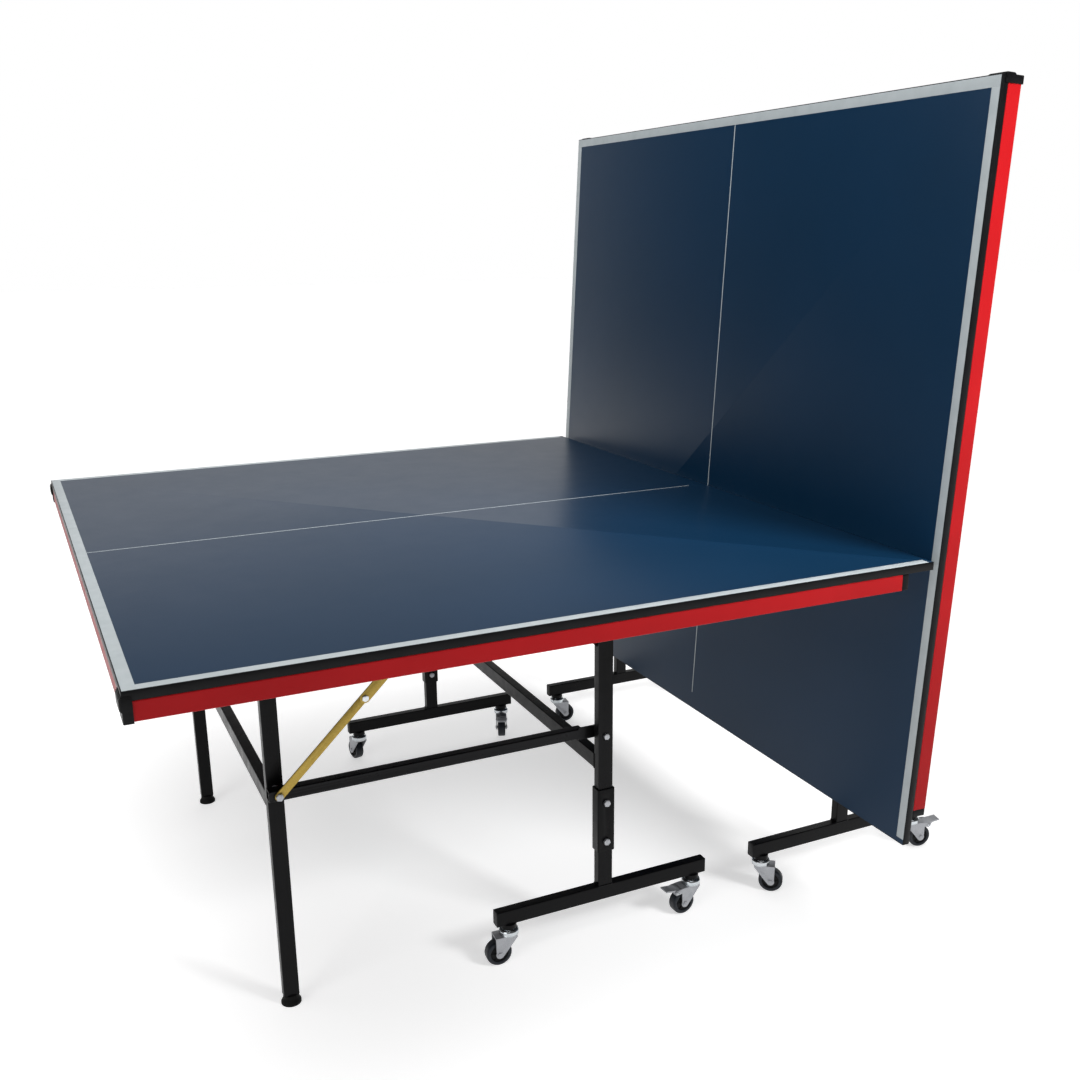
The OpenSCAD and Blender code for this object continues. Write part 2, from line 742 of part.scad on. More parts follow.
caster_fork(5);  // caster_fork_5
caster_fork(6);  // caster_fork_6
caster_fork(7);  // caster_fork_7
caster_fork(8);  // caster_fork_8
caster_wheel(5);  // caster_wheel_5
caster_wheel(6);  // caster_wheel_6
caster_wheel(7);  // caster_wheel_7
caster_wheel(8);  // caster_wheel_8
brake_pedal(6);  // brake_pedal_6
brake_pedal(8);  // brake_pedal_8
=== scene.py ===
import json
import math
import random

import bmesh
import bpy
from mathutils import Matrix, Vector

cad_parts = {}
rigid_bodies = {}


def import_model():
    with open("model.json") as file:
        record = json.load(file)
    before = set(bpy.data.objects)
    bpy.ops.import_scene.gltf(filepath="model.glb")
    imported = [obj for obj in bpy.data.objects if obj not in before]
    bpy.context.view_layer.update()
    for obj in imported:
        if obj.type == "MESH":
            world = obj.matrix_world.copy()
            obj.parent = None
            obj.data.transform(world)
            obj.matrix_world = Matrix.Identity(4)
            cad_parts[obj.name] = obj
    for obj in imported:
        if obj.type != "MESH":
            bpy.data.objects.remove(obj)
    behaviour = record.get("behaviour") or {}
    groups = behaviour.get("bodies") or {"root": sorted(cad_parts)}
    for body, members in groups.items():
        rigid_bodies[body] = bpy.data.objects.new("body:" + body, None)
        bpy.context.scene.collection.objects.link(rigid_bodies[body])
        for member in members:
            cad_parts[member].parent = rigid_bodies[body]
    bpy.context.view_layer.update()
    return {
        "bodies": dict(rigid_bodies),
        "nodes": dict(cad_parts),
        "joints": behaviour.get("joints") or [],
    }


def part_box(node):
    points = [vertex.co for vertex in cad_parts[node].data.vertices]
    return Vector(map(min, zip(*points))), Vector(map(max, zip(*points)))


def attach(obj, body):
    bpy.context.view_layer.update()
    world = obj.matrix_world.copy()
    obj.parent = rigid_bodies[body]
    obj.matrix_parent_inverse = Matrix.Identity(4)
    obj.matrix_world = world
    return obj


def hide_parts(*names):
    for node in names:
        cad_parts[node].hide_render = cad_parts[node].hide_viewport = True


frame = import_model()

MM = 0.001
SCREW_HEAD = 2.4 * MM  # height of a rail or bracket screw's head
RANDOM = random.Random(7)

# ---- places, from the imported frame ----

JOINTS = {j["name"]: j for j in frame["joints"]}
PIVOT_A = Vector(JOINTS["fold_a"]["pos_m"])
PIVOT_B = Vector(JOINTS["fold_b"]["pos_m"])
FOLD_B = math.radians(JOINTS["fold_b"]["range_deg"][1])
NET_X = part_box("edge_band_a")[1].x
BOARD_LOW, BOARD_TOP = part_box("top_board_a")[0].z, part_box("top_board_a")[1].z
HALF_L = NET_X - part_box("edge_band_a")[0].x
HALF_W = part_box("edge_band_a")[1].y
HINGE = Vector((PIVOT_A.x - NET_X, 0, PIVOT_A.z))  # a half's top hinge, from its own net edge

# A half is drawn level, from its net edge at x 0 towards its end line at -x, and then put in place
PLACE = {
    "a": Matrix.Translation((NET_X, 0, 0)),
    "b": Matrix.Translation((PIVOT_B.x, 0, 0)) @ Matrix.Rotation(math.pi, 4, "Z")
    @ Matrix.Translation((-HINGE.x, 0, 0)),
}
TOP = {
    "a": PLACE["a"],
    "b": PLACE["b"] @ Matrix.Translation(HINGE) @ Matrix.Rotation(FOLD_B, 4, "Y")
    @ Matrix.Translation(-HINGE),
}


def caster_place(n):
    """Local frame of a caster: its swivel axis at the floor, its wheel trailing towards +x."""
    at = JOINTS[f"caster_swivel_{n}"]["pos_m"]
    axle = JOINTS[f"wheel_spin_{n}"]["axis"]
    yaw = math.atan2(-axle[0], axle[1])
    return Matrix.Translation((at[0], at[1], 0)) @ Matrix.Rotation(yaw, 4, "Z")


# ---- materials ----

class Paint:
    """A procedural material on the Principled shader, in the object's own coordinates."""

    def __init__(self, name, metallic=0.0, roughness=0.5, specular=0.5):
        self.mat = bpy.data.materials.new(name)
        self.mat.use_nodes = True
        self.tree = self.mat.node_tree
        self.shader = self.tree.nodes["Principled BSDF"]
        self.shader.inputs["Metallic"].default_value = metallic
        self.shader.inputs["Roughness"].default_value = roughness
        self.shader.inputs["Specular IOR Level"].default_value = specular
        self.coords = self.node("ShaderNodeTexCoord").outputs["Object"]

    def node(self, kind):
        return self.tree.nodes.new(kind)

    def link(self, a, b):
        self.tree.links.new(a, b)

    def noise(self, scale, detail=3.0, rough=0.5):
        n = self.node("ShaderNodeTexNoise")
        n.inputs["Scale"].default_value = scale
        n.inputs["Detail"].default_value = detail
        n.inputs["Roughness"].default_value = rough
        self.link(self.coords, n.inputs["Vector"])
        return n.outputs["Fac"]

    def cells(self, scale):
        n = self.node("ShaderNodeTexVoronoi")
        n.inputs["Scale"].default_value = scale
        self.link(self.coords, n.inputs["Vector"])
        return n.outputs["Distance"]

    def remap(self, value, low, high, to_low, to_high):
        n = self.node("ShaderNodeMapRange")
        for key, number in zip(("From Min", "From Max", "To Min", "To Max"), (low, high, to_low, to_high)):
            n.inputs[key].default_value = number
        self.link(value, n.inputs["Value"])
        return n.outputs["Result"]

    def mix(self, fac, a, b):
        n = self.node("ShaderNodeMix")
        n.data_type = "RGBA"
        self.link(fac, n.inputs["Factor"])
        for value, socket in ((a, n.inputs["A"]), (b, n.inputs["B"])):
            if isinstance(value, tuple):
                socket.default_value = (*value, 1.0)
            else:
                self.link(value, socket)
        return n.outputs["Result"]

    def edges(self, low, high):
        """1 on convex edges, by the mesh's own pointiness."""
        n = self.node("ShaderNodeNewGeometry")
        return self.remap(n.outputs["Pointiness"], low, high, 0.0, 1.0)

    def colour(self, socket):
        self.link(socket, self.shader.inputs["Base Color"])

    def rough(self, value, low, high):
        self.link(self.remap(value, 0.3, 0.7, low, high), self.shader.inputs["Roughness"])

    def bump(self, *layers):
        """Each layer is (height, strength, distance in metres)."""
        normal = None
        for height, strength, distance in layers:
            n = self.node("ShaderNodeBump")
            n.inputs["Strength"].default_value = strength
            n.inputs["Distance"].default_value = distance
            self.link(height, n.inputs["Height"])
            if normal:
                self.link(normal, n.inputs["Normal"])
            normal = n.outputs["Normal"]
        self.link(normal, self.shader.inputs["Normal"])


def powder_coat(name, base, dark, roughness, worn, specular):
    """Powder coat: fine orange peel, faint mottling, and edges a little thin."""
    p = Paint(name, roughness=roughness, specular=specular)
    cloud = p.noise(9.0, 4.0)
    tint = p.mix(p.remap(cloud, 0.35, 0.65, 0, 1), dark, base)
    p.colour(p.mix(p.edges(0.56, 0.72), tint, worn))
    p.rough(p.noise(45.0, 3.0), roughness - 0.06, roughness + 0.09)
    p.bump((p.noise(420.0, 2.0), 0.22, 0.0006), (p.noise(1500.0, 2.0), 0.12, 0.0002))
    return p.mat


def moulded_plastic(name, base, light, roughness, grain):
    """Moulded plastic with a spark-eroded grain."""
    p = Paint(name, roughness=roughness, specular=0.12)
    p.colour(p.mix(p.remap(p.noise(26.0, 4.0), 0.3, 0.75, 0, 1), base, light))
    p.rough(p.noise(160.0, 3.0), roughness - 0.08, roughness + 0.1)
    p.bump((p.cells(grain), 0.22, 0.0003), (p.noise(12.0, 2.0), 0.1, 0.0006))
    return p.mat


def plated(name, base, cloud, fleck, roughness, tight=60.0, metallic=1.0):
    """Plated steel: drifting passivate colour, fine rolling lines and crystalline flecks."""
    p = Paint(name, metallic=metallic, roughness=roughness)
    drift = p.mix(p.remap(p.noise(tight, 5.0, 0.6), 0.35, 0.65, 0, 1), base, cloud)
    p.colour(p.mix(p.remap(p.cells(620.0), 0.2, 0.75, 0, 0.55), drift, fleck))
    p.rough(p.noise(140.0, 4.0, 0.65), roughness - 0.06, roughness + 0.10)
    p.bump((p.noise(900.0, 3.0), 0.12, 0.0002), (p.noise(30.0, 2.0), 0.04, 0.0006))
    return p.mat


def playing_coat():
    """Rolled playing coat: a fine even stipple with the faintest clouding and bat-and-ball scuffs."""
    p = Paint("playing_coat", roughness=0.36, specular=0.24)
    cloud = p.mix(p.remap(p.noise(2.6, 4.0), 0.35, 0.65, 0, 1), (0.0018, 0.0195, 0.0490),
                  (0.0024, 0.0215, 0.0545))
    p.colour(p.mix(p.remap(p.noise(1100.0, 2.0), 0.35, 0.7, 0, 0.45), cloud, (0.0036, 0.0265, 0.0660)))
    p.rough(p.noise(14.0, 6.0, 0.7), 0.345, 0.375)
    p.bump((p.noise(900.0, 3.0), 0.16, 0.0003), (p.noise(60.0, 3.0), 0.02, 0.0006))
    return p.mat


def line_paint():
    p = Paint("line_paint", roughness=0.5)
    p.colour(p.mix(p.remap(p.noise(30.0, 5.0), 0.3, 0.7, 0, 1), (0.375, 0.415, 0.43), (0.425, 0.465, 0.48)))
    p.rough(p.noise(90.0, 4.0), 0.42, 0.56)
    p.bump((p.noise(1000.0, 3.0), 0.14, 0.0002))
    return p.mat


def board_back():
    """Sealed underside of the board: dark wash over pressed chips."""
    p = Paint("board_back", roughness=0.62, specular=0.25)
    chips = p.mix(p.remap(p.cells(240.0), 0.1, 0.8, 0, 1), (0.0045, 0.0065, 0.0095), (0.011, 0.0135, 0.018))
    p.colour(p.mix(p.remap(p.noise(6.0, 5.0), 0.35, 0.7, 0, 0.6), chips, (0.0075, 0.0095, 0.013)))
    p.rough(p.noise(200.0, 3.0), 0.55, 0.72)
    p.bump((p.cells(240.0), 0.2, 0.0004), (p.noise(60.0, 3.0), 0.12, 0.0005))
    return p.mat


def wheel_tread():
    p = Paint("wheel_tread", roughness=0.42, specular=0.3)
    p.colour(p.mix(p.remap(p.noise(120.0, 4.0), 0.3, 0.7, 0, 1), (0.006, 0.008, 0.012),
                   (0.013, 0.017, 0.023)))
    p.rough(p.noise(200.0, 4.0), 0.34, 0.55)
    p.bump((p.noise(700.0, 3.0), 0.2, 0.0003))
    return p.mat


def studio_floor():
    """White studio floor, with a glow of its own so that it stays pale under the table."""
    glow = 0.66
    p = Paint("studio_floor", roughness=0.9, specular=0.1)
    tone = p.mix(p.noise(0.7, 2.0), (0.80, 0.80, 0.80), (0.82, 0.82, 0.82))
    p.colour(tone)
    p.link(tone, p.shader.inputs["Emission Color"])
    p.shader.inputs["Emission Strength"].default_value = glow
    return p.mat


MATS = {
    "board_blue": playing_coat(),
    "line": line_paint(),
    "back": board_back(),
    "band_black": moulded_plastic("edge_band", (0.0030, 0.0032, 0.0036), (0.0050, 0.0052, 0.0058),
                                  0.36, 1400.0),
    "rail_red": powder_coat("rail_red", (0.29, 0.0042, 0.0062), (0.26, 0.0034, 0.0052),
                            0.38, (0.34, 0.010, 0.012), 0.10),
    "frame_black": powder_coat("frame_black", (0.0024, 0.0024, 0.0027), (0.0017, 0.0017, 0.0020), 0.32,
                               (0.008, 0.008, 0.009), 0.11),
    "plastic_black": moulded_plastic("moulded_black", (0.0024, 0.0024, 0.0028), (0.0046, 0.0046, 0.0052),
                                     0.42, 1100.0),
    "foot_rubber": moulded_plastic("foot_rubber", (0.0034, 0.0034, 0.0034), (0.0070, 0.0068, 0.0066),
                                   0.62, 800.0),
    "steel_zinc": plated("zinc_satin", (0.36, 0.37, 0.39), (0.31, 0.32, 0.345), (0.46, 0.47, 0.49),
                         0.40, 60.0, 0.72),
    "zinc_bright": plated("zinc_bright", (0.60, 0.62, 0.64), (0.50, 0.55, 0.58), (0.74, 0.76, 0.78),
                          0.16, 25.0),
    "steel_gold": plated("yellow_zinc", (0.36, 0.245, 0.045), (0.30, 0.205, 0.036), (0.44, 0.32, 0.085),
                         0.38, 40.0, 0.8),
    "screw_black": plated("black_zinc", (0.055, 0.055, 0.060), (0.035, 0.036, 0.042),
                          (0.10, 0.10, 0.105), 0.36),
    "wheel_tread": wheel_tread(),
    "hub": moulded_plastic("wheel_hub", (0.006, 0.0065, 0.0075), (0.012, 0.0125, 0.014), 0.4, 900.0),
}


# ---- mesh helpers ----

def ring(bm, points):
    return [bm.verts.new(p) for p in points]


def bridge(bm, a, b, material=0):
    for i in range(len(a)):
        j = (i + 1) % len(a)
        face = bm.faces.new((a[i], a[j], b[j], b[i]))
        face.material_index = material


def lathe(bm, profile, segments, materials=None):
    """Turns (radius, height) pairs about local Z. A radius of 0 closes the form at a point."""
    rings = []
    for radius, height in profile:
        if radius == 0:
            rings.append([bm.verts.new((0, 0, height))])
            continue
        rings.append(ring(bm, [Vector((radius * math.cos(t), radius * math.sin(t), height))
                               for t in (2 * math.pi * k / segments for k in range(segments))]))
    for k, (a, b) in enumerate(zip(rings, rings[1:])):
        index = materials[k] if materials else 0
        if len(a) == 1 or len(b) == 1:
            tip, rim = (a[0], b) if len(a) == 1 else (b[0], a)
            for i in range(len(rim)):
                bm.faces.new((rim[i], rim[(i + 1) % len(rim)], tip)).material_index = index
        else:
            bridge(bm, a, b, index)
    return rings


def chamfer(bm, width, segments=2):
    """Rounds every edge that turns more than 35 degrees."""
    bm.normal_update()
    sharp = [e for e in bm.edges if len(e.link_faces) == 2 and e.calc_face_angle(0) > math.radians(35)]
    if sharp:
        bmesh.ops.bevel(bm, geom=sharp, offset=width, offset_type="OFFSET", segments=segments, profile=0.5,
                        affect="EDGES", clamp_overlap=True)


def join(bm, part, matrix):
    """Adds part to bm at matrix and frees it."""
    bmesh.ops.transform(part, matrix=matrix, verts=part.verts[:])
    mesh = bpy.data.meshes.new("part")
    part.to_mesh(mesh)
    part.free()
    bm.from_mesh(mesh)
    bpy.data.meshes.remove(mesh)


def turned(bm, profile, segments, matrix, materials):
    """Adds a form turned from (radius, height) pairs in mm, with a material for each step."""
    part = bmesh.new()
    lathe(part, [(radius * MM, height * MM) for radius, height in profile], segments, materials)
    join(bm, part, matrix)


def eased_bar(bm, size, matrix, material=0):
    """Adds a box with softly rounded edges."""
    part = bmesh.new()
    bmesh.ops.create_cube(part, size=1.0)
    bmesh.ops.scale(part, vec=size, verts=part.verts[:])
    chamfer(part, 0.3 * MM)
    for f in part.faces:
        f.material_index = material
    join(bm, part, matrix)


def piece(name, bm, materials, body, replaces=(), place=None, angle=32):
    """Makes bm an object with smooth shading and crisp edges, and puts it on its body."""
    bm.normal_update()
    bmesh.ops.recalc_face_normals(bm, faces=bm.faces[:])
    for e in bm.edges:
        e.smooth = not (len(e.link_faces) == 2 and e.calc_face_angle(0) > math.radians(angle))
    for f in bm.faces:
        f.smooth = True
    mesh = bpy.data.meshes.new(name)
    bm.to_mesh(mesh)
    bm.free()
    for m in materials:
        mesh.materials.append(m)
    obj = bpy.data.objects.new(name, mesh)
    bpy.context.scene.collection.objects.link(obj)
    if place is not None:
        obj.matrix_world = place
    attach(obj, body)
    if replaces:
        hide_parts(*replaces)
    return obj


def cad_mesh(node):
    """A clean copy of a CAD node's mesh: merged seams and whole flat faces."""
    bm = bmesh.new()
    bm.from_mesh(frame["nodes"][node].data)
    bmesh.ops.remove_doubles(bm, verts=bm.verts[:], dist=2e-6)
    bmesh.ops.dissolve_limit(bm, angle_limit=math.radians(0.6), verts=bm.verts[:], edges=bm.edges[:])
    return bm


def refined(node, body, slot, bevel=0.0, segments=2, extra=None, materials=(), second=None):
    """The CAD node's own shape with its edges rounded, and any extra detail added to it.

    Faces whose centre passes the test second take the next material.
    """
    bm = cad_mesh(node)
    if bevel:
        chamfer(bm, bevel, segments)
    if second:
        for f in bm.faces:
            if second(f.calc_center_median()):
                f.material_index = 1
    if extra:
        extra(bm)
    return piece(node + "_v", bm, [MATS[slot], *materials], body, (node,))


def weld_bead(bm, centre, u, v, half_u, half_v, matrix):
    """A rippled weld bead round a rectangular tube's end, in the plane of u and v."""
    normal = u.cross(v)
    size, corner, pitch = 1.5 * MM, 2.0 * MM, 1.1 * MM
    path = []
    steps, sides = 5, 8
    for su, sv, start in ((1, 1, 0), (-1, 1, 1), (-1, -1, 2), (1, -1, 3)):
        c = centre + u * su * (half_u - corner) + v * sv * (half_v - corner)
        for k in range(steps + 1):
            t = (start + k / steps) * math.pi / 2
            out = u * math.cos(t) + v * math.sin(t)
            path.append((c + out * corner, out))
    dense = []
    for (p, a), (q, b) in zip(path, path[1:] + path[:1]):
        count = max(1, int((q - p).length / pitch))
        for k in range(count):
            s = k / count
            dense.append((p.lerp(q, s), a.lerp(b, s).normalized()))
    rings = []
    for k, (p, out) in enumerate(dense):
        swell = size * (1.0 + 0.16 * math.sin(k * 1.9) + 0.08 * RANDOM.uniform(-1, 1))
        rings.append(ring(bm, [matrix @ (p + (out * math.cos(t) + normal * math.sin(t)) * swell)
                               for t in (2 * math.pi * j / sides for j in range(sides))]))
    for a, b in zip(rings, rings[1:] + rings[:1]):
        bridge(bm, a, b)


def cross_recess_screw(bm, matrix):
    """Pan head with a cross recess, facing local -Z."""
    part = bmesh.new()
    radius, height, rim = 4.2 * MM, SCREW_HEAD, 28
    levels = ((radius, 0.0), (radius, -height * 0.35), (radius * 0.9, -height * 0.72),
              (radius * 0.66, -height * 0.95))
    rings = lathe(part, levels, rim)
    wide, thin = radius * 0.5, radius * 0.13
    cross = [(thin, wide), (-thin, wide), (-thin, thin), (-wide, thin), (-wide, -thin), (-thin, -thin),
             (-thin, -wide), (thin, -wide), (thin, -thin), (wide, -thin), (wide, thin), (thin, thin)]
    mouth = ring(part, [Vector((x, y, -height)) for x, y in cross])
    floor = ring(part, [Vector((x * 0.7, y * 0.7, -height * 0.25)) for x, y in cross])
    edges = [part.edges.new((mouth[i], mouth[(i + 1) % 12])) for i in range(12)]
    edges += [e for e in rings[-1][0].link_edges if e.other_vert(rings[-1][0]) in rings[-1]]
    outer = [part.edges.get((rings[-1][i], rings[-1][(i + 1) % rim])) for i in range(rim)]
    bmesh.ops.triangle_fill(part, use_beauty=True, use_dissolve=False, edges=list(set(edges + outer)))
    bridge(part, mouth, floor)
    part.faces.new(floor)
    join(bm, part, matrix)


# ---- table tops ----

def rounded_slab(bm, x0, x1, y0, y1, z0, z1, corner, edge, materials):
    """Board with rounded plan corners and eased edges. materials: top, side, bottom."""
    corners = []
    for cx, cy, start in ((x1 - corner, y1 - corner, 0), (x0 + corner, y1 - corner, 1),
                          (x0 + corner, y0 + corner, 2), (x1 - corner, y0 + corner, 3)):
        corners += [(cx, cy, (start + k / 4) * math.pi / 2) for k in range(5)]
    levels = ((z0, -edge), (z0 + edge * 0.3, -edge * 0.3), (z0 + edge, 0.0), (z1 - edge, 0.0),
              (z1 - edge * 0.3, -edge * 0.3), (z1, -edge))
    rings = [ring(bm, [Vector((cx + (corner + grow) * math.cos(t), cy + (corner + grow) * math.sin(t), z))
                       for cx, cy, t in corners]) for z, grow in levels]
    for a, b in zip(rings, rings[1:]):
        bridge(bm, a, b, materials[1])
    bm.faces.new(rings[-1]).material_index = materials[0]
    bm.faces.new(rings[0]).material_index = materials[2]


def line_strip(bm, x0, x1, y0, y1):
    """A painted line: a thin film with sloped shoulders on the playing surface."""
    z = BOARD_TOP
    film, shoulder = 0.12 * MM, 0.25 * MM
    base = [(x0, y0), (x1, y0), (x1, y1), (x0, y1)]
    inset = [(x0 + shoulder, y0 + shoulder), (x1 - shoulder, y0 + shoulder),
             (x1 - shoulder, y1 - shoulder), (x0 + shoulder, y1 - shoulder)]
    low = ring(bm, [Vector((x, y, z + 0.01 * MM)) for x, y in base])
    high = ring(bm, [Vector((x, y, z + film)) for x, y in inset])
    bridge(bm, low, high)
    bm.faces.new(high)


def make_top(h):
    body = "top_" + h
    band = 1.5 * MM
    bm = bmesh.new()
    rounded_slab(bm, -HALF_L + band, -band, -HALF_W + band, HALF_W - band, BOARD_LOW, BOARD_TOP - 0.02 * MM,
                 0.8 * MM, 0.15 * MM, (0, 0, 1))
    piece("playing_board_" + h, bm, [MATS["board_blue"], MATS["back"]], body,
          ("top_board_" + h,), TOP[h])

    bm = bmesh.new()
    ease, soft = 0.9 * MM, 0.3 * MM  # the band's rounded edges
    outer_levels = ((BOARD_LOW, -ease), (BOARD_LOW + soft, -soft), (BOARD_LOW + ease, 0),
                    (BOARD_TOP - ease, 0), (BOARD_TOP - soft, -soft), (BOARD_TOP, -ease))
    corner = 2.0 * MM
    plan = []
    for cx, cy, start in ((-corner, HALF_W - corner, 0), (-HALF_L + corner, HALF_W - corner, 1),
                          (-HALF_L + corner, -HALF_W + corner, 2), (-corner, -HALF_W + corner, 3)):
        plan += [(cx, cy, (start + k / 5) * math.pi / 2) for k in range(6)]
    rings = [ring(bm, [Vector((cx + (corner + g) * math.cos(t), cy + (corner + g) * math.sin(t), z))
                       for cx, cy, t in plan]) for z, g in outer_levels]
    inner = [ring(bm, [Vector((cx + (corner - band) * math.cos(t), cy + (corner - band) * math.sin(t), z))
                       for cx, cy, t in plan]) for z in (BOARD_TOP, BOARD_LOW)]
    loop = rings + inner
    for a, b in zip(loop, loop[1:] + loop[:1]):
        bridge(bm, a, b)
    piece("board_edge_band_" + h, bm, [MATS["band_black"]], body, ("edge_band_" + h,), TOP[h])

    bm = bmesh.new()
    wide, rim, stop, centre_stop = 20 * MM, band + 0.2 * MM, 11 * MM, 40 * MM
    line_strip(bm, -HALF_L + rim, -HALF_L + wide, -HALF_W + rim, HALF_W - rim)
    for s in (-1, 1):
        y0, y1 = sorted((s * (HALF_W - wide), s * (HALF_W - rim)))
        line_strip(bm, -HALF_L + wide, -stop, y0, y1)
    centre = 1.5 * MM  # half the centre line
    line_strip(bm, -HALF_L + wide, -centre_stop, -centre, centre)
    piece("court_lines_" + h, bm, [MATS["line"]], body, (), TOP[h])

    for node, slot, bevel, segments in (("side_rails", "rail_red", 0.0, 1), ("end_rail", "rail_red", 0.0, 1),
                                        ("rail_caps", "plastic_black", 0.5 * MM, 2),
                                        ("corner_guards", "plastic_black", 0.8 * MM, 3),
                                        ("hinge_brackets", "frame_black", 0.35 * MM, 2)):
        refined(f"{node}_{h}", body, slot, bevel, segments)

    make_screws(h, body)


def make_screws(h, body):
    """The rail and bracket screws, each with a cross recess, where the CAD has them."""
    source = cad_mesh("top_screws_" + h)
    back = TOP[h].inverted()
    bmesh.ops.transform(source, matrix=back, verts=source.verts[:])
    bm = bmesh.new()
    seen = set()
    for vert in source.verts:
        if vert in seen:
            continue
        stack, island = [vert], []
        seen.add(vert)
        while stack:
            v = stack.pop()
            island.append(v.co.copy())
            for e in v.link_edges:
                w = e.other_vert(v)
                if w not in seen:
                    seen.add(w)
                    stack.append(w)
        low = min(c.z for c in island)
        rim = [c for c in island if c.z < low + 0.1 * MM]
        centre = sum(rim, Vector()) / len(rim)
        head = Vector((centre.x, centre.y, low + SCREW_HEAD))
        turn = Matrix.Rotation(RANDOM.uniform(0, math.pi / 2), 4, "Z")
        cross_recess_screw(bm, Matrix.Translation(head) @ turn)
    source.free()
    piece("cross_head_screws_" + h, bm, [MATS["screw_black"]], body, ("top_screws_" + h,),
          TOP[h], 40)


# ---- frames and legs ----

def make_frame(h):
    body = "carriage_" + h
    x_axis, y_axis, z_axis = Vector((1, 0, 0)), Vector((0, 1, 0)), Vector((0, 0, 1))
    place = PLACE[h]
    leg_y, cross_z, base_top = 493.5 * MM, 370 * MM, 112 * MM
    cross_x = HINGE.x - 5 * MM
    long, short = 15 * MM, 10 * MM  # half of the tube's section

    def frame_welds(bm):
        for s in (-1, 1):
            weld_bead(bm, Vector((cross_x, s * (leg_y - short), cross_z)), x_axis, z_axis, short, long, place)

    def base_welds(bm):
        for s in (-1, 1):
            weld_bead(bm, Vector((HINGE.x, s * leg_y, base_top)), x_axis, y_axis, long, short, place)

    refined("leg_frame_" + h, body, "frame_black", extra=frame_welds)
    refined("base_bars_" + h, body, "frame_black", extra=base_welds)
    refined("leg_sleeves_" + h, body, "frame_black", 0.5 * MM, 2)
    refined("base_caps_" + h, body, "plastic_black", 0.5 * MM, 2)
    refined("sleeve_bolts_" + h, body, "steel_zinc", 0.4 * MM, 2)
    refined("frame_bolts_" + h, body, "steel_zinc", 0.4 * MM, 2)

    body = "end_leg_pair_" + h
    refined("end_legs_" + h, body, "frame_black")
    refined("leg_bolts_" + h, body, "steel_zinc", 0.4 * MM, 2)
    refined("leg_feet_" + h, body, "foot_rubber", 0.6 * MM, 2)
    refined("link_bars_" + h, "link_pair_" + h, "frame_black", 0.3 * MM, 1)
    refined("lower_stays_" + h, "lower_stay_pair_" + h, "steel_gold", 0.5 * MM, 2)
    elbow_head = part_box("lower_stays_" + h)[1].y + 3.7 * MM  # beyond the outer face of the upper stay
    refined("upper_stays_" + h, "upper_stay_pair_" + h, "steel_gold", 0.5 * MM, 2,
            materials=[MATS["zinc_bright"]], second=lambda c: abs(c.y) > elbow_head)


# outlines of the caster's swivel cup as (radius, height) in mm
CUP_SEAM = ((17.0, 60.4), (18.8, 60.4), (19.15, 60.9), (19.15, 61.7), (18.8, 62.2), (17.0, 62.2))
CUP_RACE = ((9.0, 71.3), (13.4, 71.3), (13.9, 71.9), (13.4, 72.4), (9.0, 72.4))


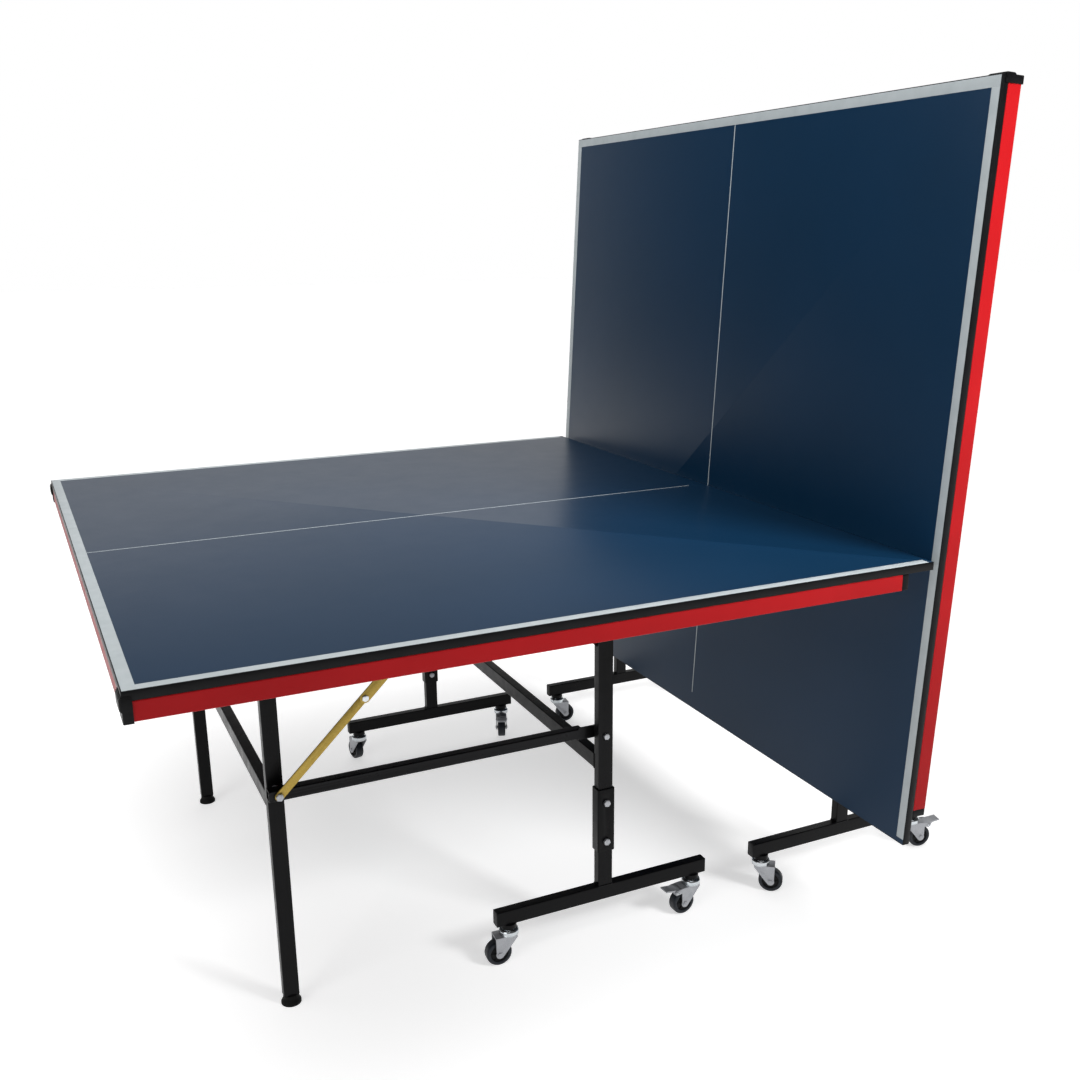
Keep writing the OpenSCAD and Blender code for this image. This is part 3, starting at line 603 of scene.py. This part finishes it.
def make_caster(n):
    """A caster: its fork with a bright cup, its wheel, and its brake pedal if it has one."""
    place = caster_place(n)
    local = place.inverted()
    braked = f"brake_{n}" in frame["bodies"]
    trail, radius = 22 * MM, 25 * MM
    axle = Matrix.Translation((trail, 0, radius)) @ Matrix.Rotation(-math.pi / 2, 4, "X")
    cheek, cup_z = 15.2 * MM, 60.2 * MM  # the cheek's outer face, and where the cup begins
    rivets = [(trail, radius, 4.6)]
    if braked:
        rivets.append((40 * MM, 54 * MM, 3.2))

    def cup_detail(bm):
        # rolled rim and ball race of the swivel cup, and the riveted ends of the axle and the pedal's pin
        turned(bm, CUP_SEAM, 64, place, (1,) * 5)
        turned(bm, CUP_RACE, 64, place, (1,) * 4)
        for s in (-1, 1):
            facing = Matrix.Rotation(-s * math.pi / 2, 4, "X")
            for x, z, r in rivets:
                head = ((r, -0.4), (r, 0.3), (r * 0.86, 0.75), (r * 0.45, 0.95), (r * 0.36, 0.35), (0, 0.3))
                at = place @ Matrix.Translation((x, s * cheek, z)) @ facing
                turned(bm, head, 40, at, (1, 1, 1, 2, 2))

    refined(f"caster_fork_{n}", f"caster_{n}", "steel_zinc", 0.5 * MM, 2, cup_detail,
            [MATS["zinc_bright"], MATS["screw_black"]], lambda c: (local @ c).z > cup_z)

    bm = bmesh.new()
    half = 10 * MM
    tread = [(17.6, 0.75), (18.6, 0.35), (20.4, 0.0), (22.6, 0.2), (24.1, 1.2), (24.85, 2.9), (25.0, 5.0)]
    hub = [(3.1, -0.8), (6.6, -0.8), (7.6, -0.4), (8.2, 0.6), (8.6, 3.0), (10.0, 3.6), (15.6, 3.4),
           (16.8, 2.4), (17.4, 1.0)]
    left = [(r * MM, -half + z * MM) for r, z in hub + tread]
    right = [(r, -z) for r, z in reversed(left)]
    profile = left + right
    materials = [1 if 3.0 * MM < (a[0] + b[0]) / 2 < 17.5 * MM else 0 for a, b in zip(profile, profile[1:])]
    lathe(bm, profile, 72, materials)
    bore = (3.1 * MM, -half - 0.8 * MM), (3.1 * MM, half + 0.8 * MM)
    lathe(bm, bore, 72)
    bmesh.ops.remove_doubles(bm, verts=bm.verts[:], dist=1e-6)
    rib, rib_at = (8.2 * MM, 1.6 * MM, 2.4 * MM), (12.2 * MM, half - 3.0 * MM)
    for k in range(6):
        turn = Matrix.Rotation(math.pi * k / 3, 4, "Z")
        for side in (-1, 1):
            eased_bar(bm, rib, turn @ Matrix.Translation((rib_at[0], 0, side * rib_at[1])), 1)
    piece(f"wheel_{n}_v", bm, [MATS["wheel_tread"], MATS["hub"]], f"wheel_{n}",
          (f"caster_wheel_{n}",), place @ axle)

    if braked:
        def tread_bars(bm):
            # pressed bars across the pedal, rising with its slope, for the sole of a shoe
            first_x, first_z, pitch, rise = 53 * MM, 60.9 * MM, 3 * MM, 0.4 * MM
            for k in range(4):
                at = Matrix.Translation((first_x + pitch * k, 0, first_z + rise * k))
                eased_bar(bm, (1.1 * MM, 17 * MM, 1.1 * MM), place @ at)

        refined(f"brake_pedal_{n}", f"brake_{n}", "steel_zinc", 0.5 * MM, 2, tread_bars)


for half_name in ("a", "b"):
    make_top(half_name)
    make_frame(half_name)
for number in range(1, 9):
    make_caster(number)


# ---- studio ----

def studio():
    """A pale floor, a white screen in a dim world, and soft lamps."""
    bm = bmesh.new()
    half = 30.0
    corners = ((-half, -half), (half, -half), (half, half), (-half, half))
    bm.faces.new(ring(bm, [Vector((x, y, 0)) for x, y in corners]))
    mesh = bpy.data.meshes.new("studio_floor")
    bm.to_mesh(mesh)
    bm.free()
    mesh.materials.append(studio_floor())
    obj = bpy.data.objects.new("studio_floor", mesh)
    bpy.context.scene.collection.objects.link(obj)

    # a white screen behind the table lights it from there and the rest of the room is dim,
    # while the camera's own rays see plain white all round
    yaw, rise = math.radians(25), 0.12
    edge, full = 0.66, 0.90  # cosines of the angle from the screen's middle
    screen_light, room_light = 0.68, 0.06
    world = bpy.data.worlds.new("studio")
    bpy.context.scene.world = world
    world.use_nodes = True
    tree = world.node_tree
    sky = tree.nodes["Background"]
    coords = tree.nodes.new("ShaderNodeTexCoord")
    dot = tree.nodes.new("ShaderNodeVectorMath")
    dot.operation = "DOT_PRODUCT"
    dot.inputs[1].default_value = Vector((math.sin(yaw), math.cos(yaw), rise)).normalized()
    tree.links.new(coords.outputs["Generated"], dot.inputs[0])
    screen = tree.nodes.new("ShaderNodeMapRange")
    screen.interpolation_type = "SMOOTHSTEP"
    limits = (edge, full, room_light, screen_light)
    for key, number in zip(("From Min", "From Max", "To Min", "To Max"), limits):
        screen.inputs[key].default_value = number
    tree.links.new(dot.outputs["Value"], screen.inputs["Value"])
    rays = tree.nodes.new("ShaderNodeLightPath")
    seen = tree.nodes.new("ShaderNodeMix")
    seen.inputs["B"].default_value = 1.0
    tree.links.new(rays.outputs["Is Camera Ray"], seen.inputs["Factor"])
    tree.links.new(screen.outputs["Result"], seen.inputs["A"])
    tree.links.new(seen.outputs["Result"], sky.inputs["Strength"])
    sky.inputs["Color"].default_value = (1, 1, 1, 1)

    ceiling = bpy.data.lights.new("ceiling", "SUN")
    ceiling.energy = 1.7
    ceiling.angle = math.radians(70)
    lamp = bpy.data.objects.new("ceiling", ceiling)
    lamp.location = (0, 0, 5)
    bpy.context.scene.collection.objects.link(lamp)

    lamps = (
        ("overhead", (-1.0, -0.4, 3.4), (0.6, 0.1, 1.5), 2.0, 180, 36),
        ("key_right", (1.3, -2.6, 2.3), (0.6, -0.76, 1.3), 0.9, 50, 12),
        ("fill_left", (-4.2, -2.6, 2.4), (0.2, 0, 1.0), 2.4, 180, 50),
    )
    for name, at, aim, size, spread, power in lamps:
        data = bpy.data.lights.new(name, "AREA")
        data.size, data.spread, data.energy = size, math.radians(spread), power
        lamp = bpy.data.objects.new(name, data)
        bpy.context.scene.collection.objects.link(lamp)
        lamp.location = at
        lamp.visible_glossy = name != "key_right"  # its narrow beam would glare on the playing surface
        lamp.rotation_mode = "QUATERNION"
        lamp.rotation_quaternion = (Vector(aim) - Vector(at)).to_track_quat("-Z", "Y")


def camera():
    """The photograph's viewpoint, with a small shift for its framing."""
    yaw, pitch, roll = 0.4493, 0.2824, -0.0067
    data = bpy.data.cameras.new("camera")
    data.sensor_width = 36.0
    data.lens = 39.2067
    data.shift_x, data.shift_y = -0.022037, 0.030926
    data.clip_end = 100
    cam = bpy.data.objects.new("camera", data)
    bpy.context.scene.collection.objects.link(cam)
    ahead = Vector((math.sin(yaw) * math.cos(pitch), math.cos(yaw) * math.cos(pitch), -math.sin(pitch)))
    right = Vector((math.cos(yaw), -math.sin(yaw), 0))
    up = right.cross(ahead)
    right_r = right * math.cos(roll) + up * math.sin(roll)
    up_r = up * math.cos(roll) - right * math.sin(roll)
    pose = Matrix((right_r, up_r, -ahead)).transposed().to_4x4()
    beyond, out, height = 0.0986, 1.5275, 1.3275  # from half A's near corner, and above the floor
    pose.translation = Vector((NET_X - HALF_L - beyond, -HALF_W - out, height))
    cam.matrix_world = pose
    bpy.context.scene.camera = cam


studio()
camera()
bpy.context.scene.view_settings.view_transform = "Standard"
